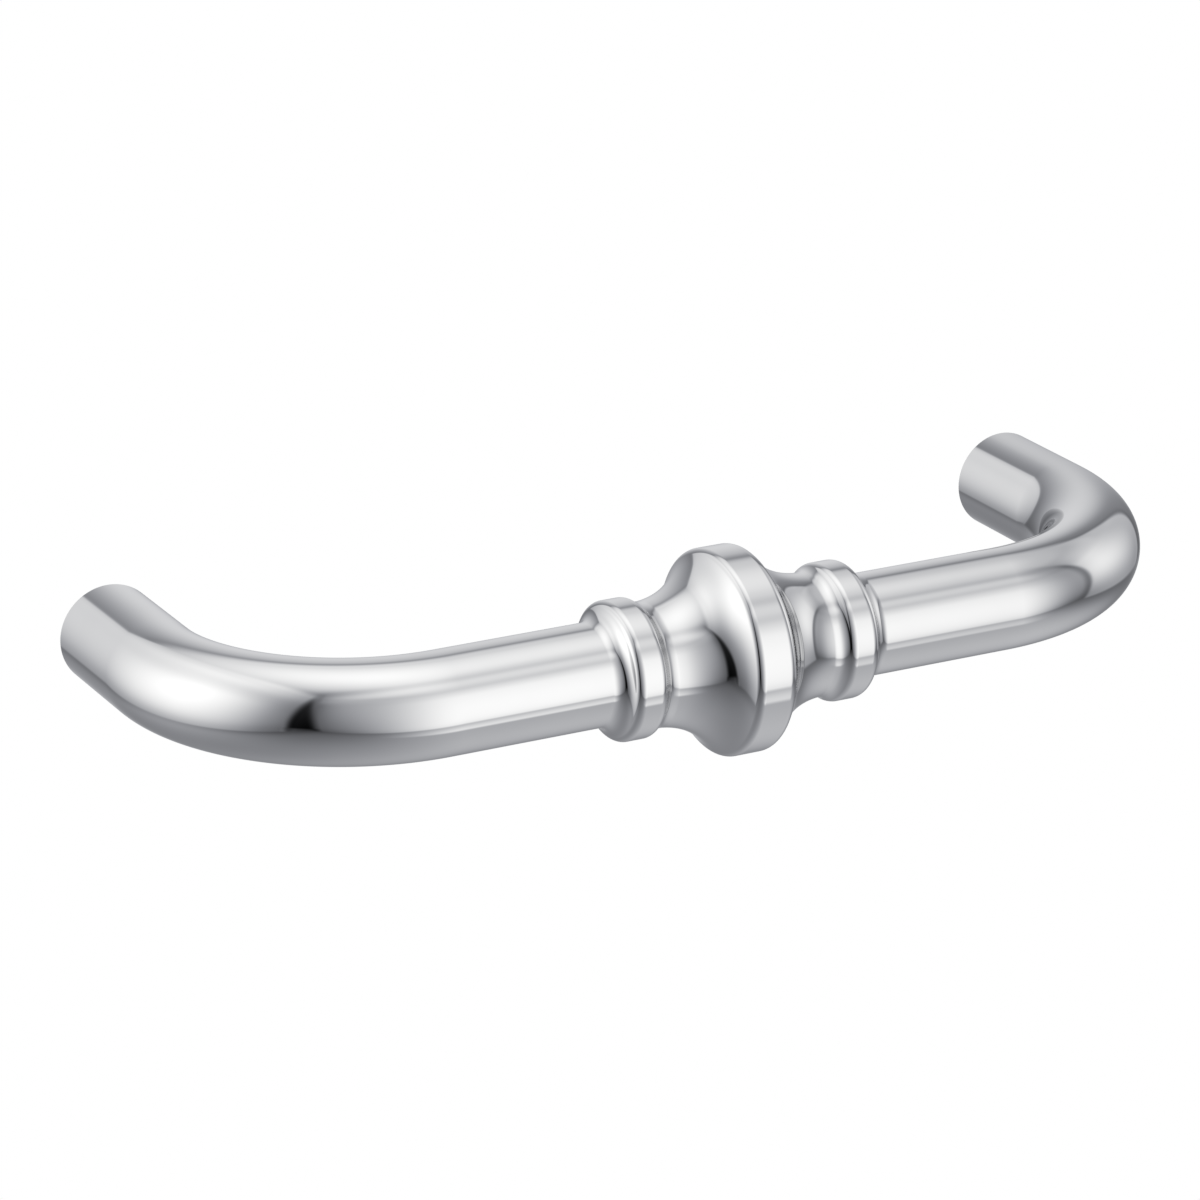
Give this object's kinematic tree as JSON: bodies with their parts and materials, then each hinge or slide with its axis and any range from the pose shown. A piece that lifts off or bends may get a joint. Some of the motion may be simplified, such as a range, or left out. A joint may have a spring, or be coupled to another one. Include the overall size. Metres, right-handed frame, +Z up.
{
  "type": "drawer pull",
  "caption": "Polished chrome bar pull: a round bar bent back into two screw-fixed legs, with a turned ornament of a large disc between smaller collars at its middle.",
  "frame": {"origin": "midway between the two screw holes, on the plane of the two leg ends, which is the face of the drawer front", "axes": "+X along the bar, +Y into the drawer front, +Z up, with the bar level as it is when it is fitted across a drawer"},
  "size_m": [0.1118, 0.0419, 0.0204],
  "materials": {
    "chrome_plate": "bright polished chrome plate"
  },
  "bodies": {
    "root": {"pull": "chrome_plate"}
  },
  "joints": []
}
